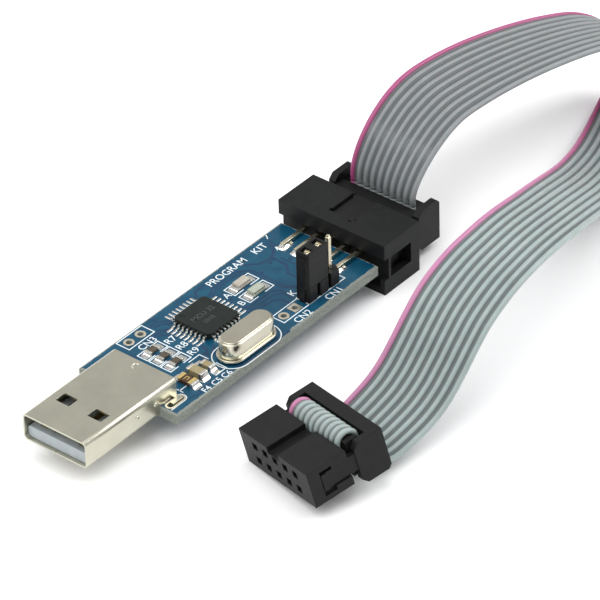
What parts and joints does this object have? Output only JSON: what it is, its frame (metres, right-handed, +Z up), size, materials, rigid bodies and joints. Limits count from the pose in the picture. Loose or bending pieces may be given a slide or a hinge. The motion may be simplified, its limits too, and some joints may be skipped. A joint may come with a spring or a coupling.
{
  "type": "usb microcontroller programmer",
  "caption": "USB stick circuit board with a microcontroller, crystal, jumper and box header, and a flat ribbon cable with a socket at each end.",
  "frame": {"origin": "under the middle of the stick without its cable, level with the underside of the box header, which is the surface it lies on", "axes": "+X along the stick from the USB plug to the box header, +Y to the side away from the crystal and jumper, +Z up from the board's part side"},
  "size_m": [0.1288, 0.0496, 0.0204],
  "materials": {
    "board": "blue solder mask over fibreglass",
    "hole_rings": "tinned copper, satin",
    "usb_shell": "nickel-plated steel sheet, satin",
    "usb_tongue": "pale moulded plastic",
    "contact_gold": "gold-plated spring metal",
    "solder": "bright solder",
    "chip_plastic": "moulded epoxy, fine grain",
    "tinned_leads": "matte tin",
    "crystal_metal": "drawn nickel can, matte top",
    "red_led": "clear resin with a pale red cast",
    "green_led": "clear resin with a pale green cast",
    "ceramic_dark": "glazed resistor film",
    "ceramic_tan": "fired ceramic",
    "fuse_brown": "brown epoxy with gold marks",
    "header_plastic": "glass-filled nylon",
    "header_pins": "pale gold plating",
    "jumper_plastic": "moulded nylon",
    "shroud_plastic": "moulded polyester, fine grain",
    "zener_glass": "amber glass sleeve",
    "socket_plastic": "moulded polyester, fine grain",
    "ribbon": "grey vinyl with one pink edge wire"
  },
  "bodies": {
    "programmer": {"circuit_board": "board", "spare_hole_rings": "hole_rings", "usb_shell": "usb_shell", "usb_tongue": "usb_tongue", "usb_contacts": "contact_gold", "usb_solder": "solder", "microcontroller_body": "chip_plastic", "microcontroller_leads": "tinned_leads", "crystal_can": "crystal_metal", "crystal_flange": "crystal_metal", "crystal_leads": "tinned_leads", "red_led_body": "red_led", "green_led_body": "green_led", "led_terminals": "tinned_leads", "resistor_bodies": "ceramic_dark", "resistor_terminals": "tinned_leads", "capacitor_bodies": "ceramic_tan", "capacitor_terminals": "tinned_leads", "fuse_body": "fuse_brown", "fuse_terminals": "contact_gold", "surface_solder": "solder", "jumper_header_base": "header_plastic", "jumper_header_pins": "header_pins", "through_hole_solder": "solder", "box_header_shroud": "shroud_plastic", "box_header_pins": "header_pins", "box_header_solder": "solder", "regulator_body": "chip_plastic", "regulator_leads": "tinned_leads", "zener_bodies": "zener_glass", "zener_terminals": "tinned_leads", "lower_resistor_bodies": "ceramic_dark", "lower_resistor_terminals": "tinned_leads", "lower_capacitor_bodies": "ceramic_tan", "lower_capacitor_terminals": "tinned_leads"},
    "jumper": {"jumper_cap": "jumper_plastic", "jumper_contact": "contact_gold"},
    "cable": {"plug_socket_body": "socket_plastic", "plug_socket_cover": "socket_plastic", "plug_socket_strain_relief": "socket_plastic", "plug_socket_contacts": "contact_gold", "plug_ribbon_fold": "ribbon", "ribbon_cable": "ribbon", "target_ribbon_fold": "ribbon", "target_socket_body": "socket_plastic", "target_socket_cover": "socket_plastic", "target_socket_strain_relief": "socket_plastic", "target_socket_contacts": "contact_gold"}
  },
  "joints": [
    {"name": "jumper_lift", "type": "slide", "parent": "programmer", "child": "jumper", "axis": [0, 0, 1], "range_m": [0, 0.0065]},
    {"name": "cable_unplug", "type": "slide", "parent": "programmer", "child": "cable", "axis": [1, 0, 0], "range_m": [0, 0.008]}
  ]
}
